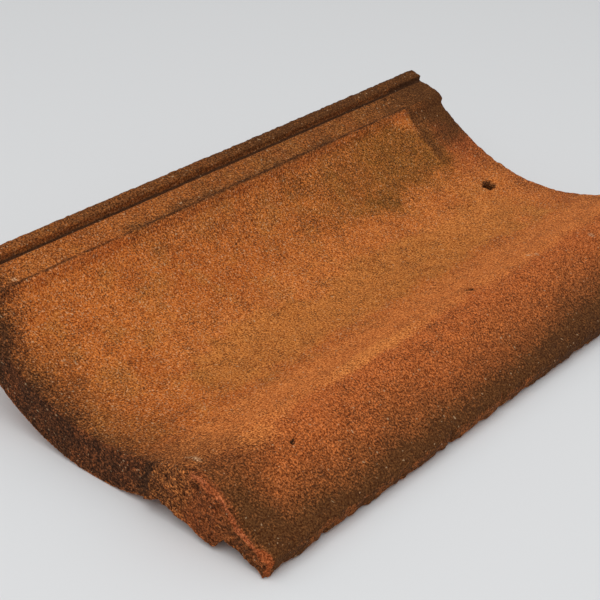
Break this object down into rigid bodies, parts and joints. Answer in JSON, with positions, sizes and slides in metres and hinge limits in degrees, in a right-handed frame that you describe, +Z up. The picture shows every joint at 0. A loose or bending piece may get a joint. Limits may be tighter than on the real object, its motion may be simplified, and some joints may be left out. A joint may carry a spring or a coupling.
{
  "type": "concrete roof tile",
  "caption": "Interlocking concrete roof tile with a hollow pan, a rolled side with a lapping wing, a lipped side shelf, a nail hole and a hanging nib.",
  "frame": {"origin": "centre of the tile's box, on the floor that it lies on", "axes": "+Y along the tile from its tail to its head, with the nail hole; +X from the lip to the wing; +Z up as it lies on a level floor"},
  "size_m": [0.2374, 0.41, 0.0794],
  "materials": {
    "concrete": "matt, sandy and weathered"
  },
  "bodies": {
    "root": {"roof_tile": "concrete"}
  },
  "joints": []
}
